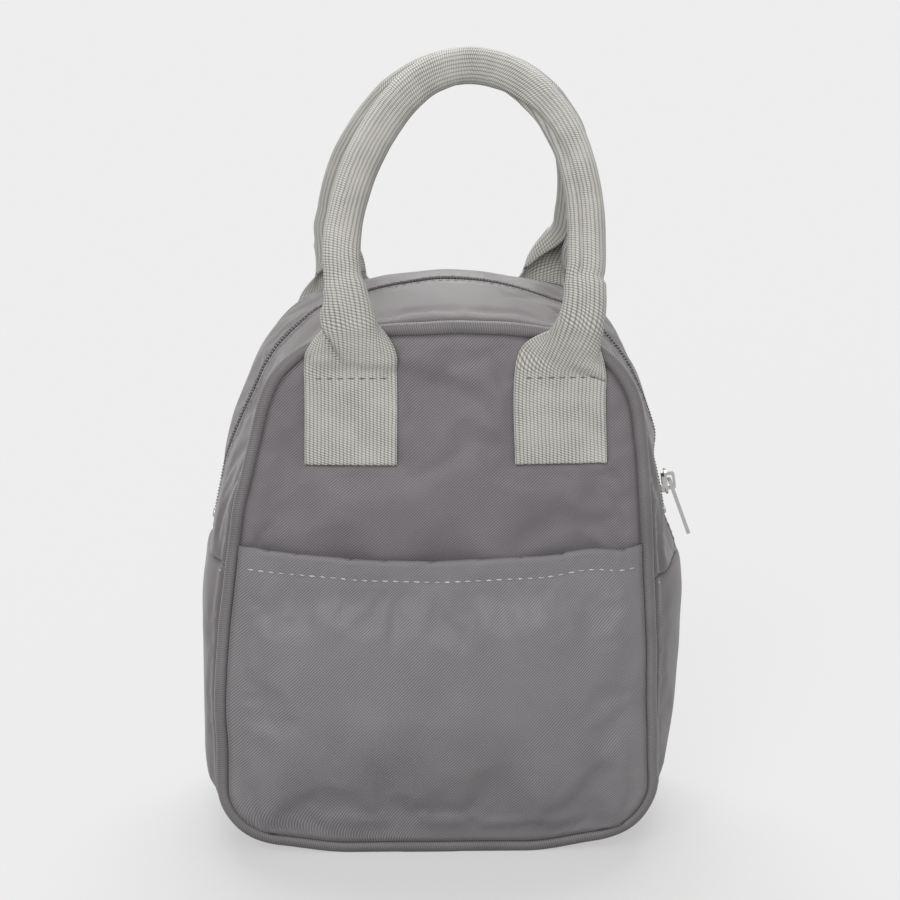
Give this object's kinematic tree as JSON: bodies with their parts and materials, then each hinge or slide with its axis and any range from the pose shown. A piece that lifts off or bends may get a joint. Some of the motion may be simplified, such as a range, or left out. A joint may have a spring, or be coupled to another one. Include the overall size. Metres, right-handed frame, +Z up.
{
  "type": "insulated lunch bag",
  "caption": "Soft insulated lunch bag with a zip-round opening front flap, a front pocket, corded piping and folded webbing handles.",
  "frame": {"origin": "centre of the base, on the surface that the bag stands on", "axes": "+Z up, -Y out of the front pocket, +X to the right of someone facing the pocket"},
  "size_m": [0.2185, 0.1407, 0.3462],
  "materials": {
    "outer_cloth": "fine twill, soft satin sheen",
    "pocket_cloth": "fine twill, soft satin sheen",
    "piping_cloth": "fine twill, soft satin sheen",
    "binding": "matt woven tape",
    "webbing": "matt coarse woven webbing",
    "zip_tape": "matt knitted tape",
    "zip_coil": "satin moulded coil",
    "lining": "smooth wipe-clean film",
    "foam": "soft closed-cell foam sheet",
    "cord": "twisted soft cord",
    "nickel": "bright nickel plate"
  },
  "bodies": {
    "bag": {"rear_panel": "outer_cloth", "rear_panel_foam": "foam", "rear_panel_lining": "lining", "front_panel_lower": "outer_cloth", "front_panel_lower_foam": "foam", "front_panel_lower_lining": "lining", "front_pocket": "pocket_cloth", "pocket_hem": "pocket_cloth", "lower_gusset": "outer_cloth", "lower_gusset_foam": "foam", "lower_gusset_lining": "lining", "rear_zip_strip": "outer_cloth", "rear_zip_strip_foam": "foam", "rear_zip_strip_lining": "lining", "front_strip_ends": "outer_cloth", "front_strip_ends_foam": "foam", "front_strip_ends_lining": "lining", "rear_piping_cover": "piping_cloth", "rear_piping_cord": "cord", "front_piping_cover_lower": "piping_cloth", "front_piping_cord_lower": "cord", "rear_seam_binding": "binding", "front_seam_binding_lower": "binding", "rear_zip_tape": "zip_tape", "rear_zip_coil": "zip_coil", "front_zip_tape_ends": "zip_tape", "front_zip_coil_ends": "zip_coil", "zip_end_stops": "nickel", "rear_handle_ends": "webbing"},
    "front_flap": {"front_panel_upper": "outer_cloth", "front_panel_upper_foam": "foam", "front_panel_upper_lining": "lining", "front_zip_strip": "outer_cloth", "front_zip_strip_foam": "foam", "front_zip_strip_lining": "lining", "front_piping_cover_upper": "piping_cloth", "front_piping_cord_upper": "cord", "front_seam_binding_upper": "binding", "front_zip_tape": "zip_tape", "front_zip_coil": "zip_coil", "front_handle_ends": "webbing"},
    "front_handle": {"front_handle_webbing": "webbing", "front_handle_cord": "cord"},
    "rear_handle": {"rear_handle_webbing": "webbing", "rear_handle_cord": "cord"},
    "zip_slider": {"slider_body": "nickel", "slider_bridge": "nickel"},
    "pull_tab": {"pull_tab": "nickel"}
  },
  "joints": [
    {"name": "flap_fold", "type": "hinge", "parent": "bag", "child": "front_flap", "pos_m": [0, -0.0628, 0.1565], "axis": [1, 0, 0], "range_deg": [0, 55]},
    {"name": "front_handle_fold", "type": "hinge", "parent": "front_flap", "child": "front_handle", "pos_m": [0, -0.06395, 0.209], "axis": [1, 0, 0], "range_deg": [0, 150]},
    {"name": "rear_handle_fold", "type": "hinge", "parent": "bag", "child": "rear_handle", "pos_m": [0, 0.06395, 0.209], "axis": [-1, 0, 0], "range_deg": [0, 150]},
    {"name": "zip_slide", "type": "hinge", "parent": "bag", "child": "zip_slider", "pos_m": [-0.688, 0, 0.055], "axis": [0, -1, 0], "range_deg": [0, 2.75]},
    {"name": "tab_swing", "type": "hinge", "parent": "zip_slider", "child": "pull_tab", "pos_m": [0.10361, 0, 0.15006], "axis": [0, -1, 0], "range_deg": [0, 150]}
  ]
}
